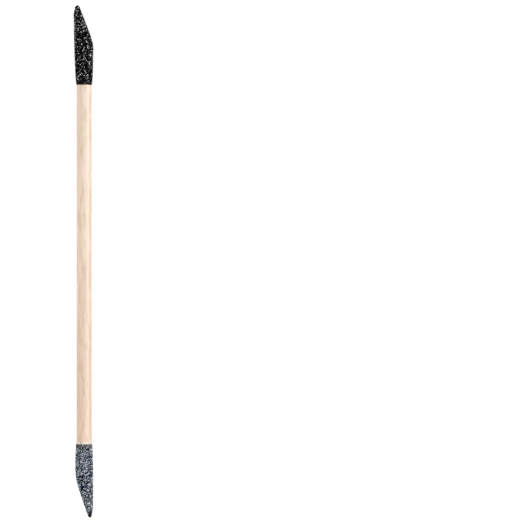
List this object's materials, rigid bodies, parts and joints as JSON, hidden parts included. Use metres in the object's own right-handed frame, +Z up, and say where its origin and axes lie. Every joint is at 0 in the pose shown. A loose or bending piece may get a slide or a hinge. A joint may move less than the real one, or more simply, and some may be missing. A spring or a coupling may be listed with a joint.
{
  "type": "double-ended grit stick",
  "caption": "Slim round wooden stick, both ends cut on a slant and coated with abrasive grit: coarse black at one end, finer slate grey at the other.",
  "frame": {"origin": "on the surface the stick lies on, under the middle of its length and under its axis", "axes": "+X along the stick towards the black end, +Z up; the black slant faces -Y and the grey slant faces +Y"},
  "size_m": [0.115, 0.0043, 0.0043],
  "materials": {
    "wood": "fine sanded bare birch",
    "dark_glue": "dried dark adhesive",
    "black_grit": "coarse glittering black abrasive grains",
    "pale_glue": "dried pale adhesive",
    "grey_grit": "fine slate grey abrasive grains"
  },
  "bodies": {
    "root": {"wood_stick": "wood", "black_glue": "dark_glue", "black_grit": "black_grit", "grey_glue": "pale_glue", "grey_grit": "grey_grit"}
  },
  "joints": []
}
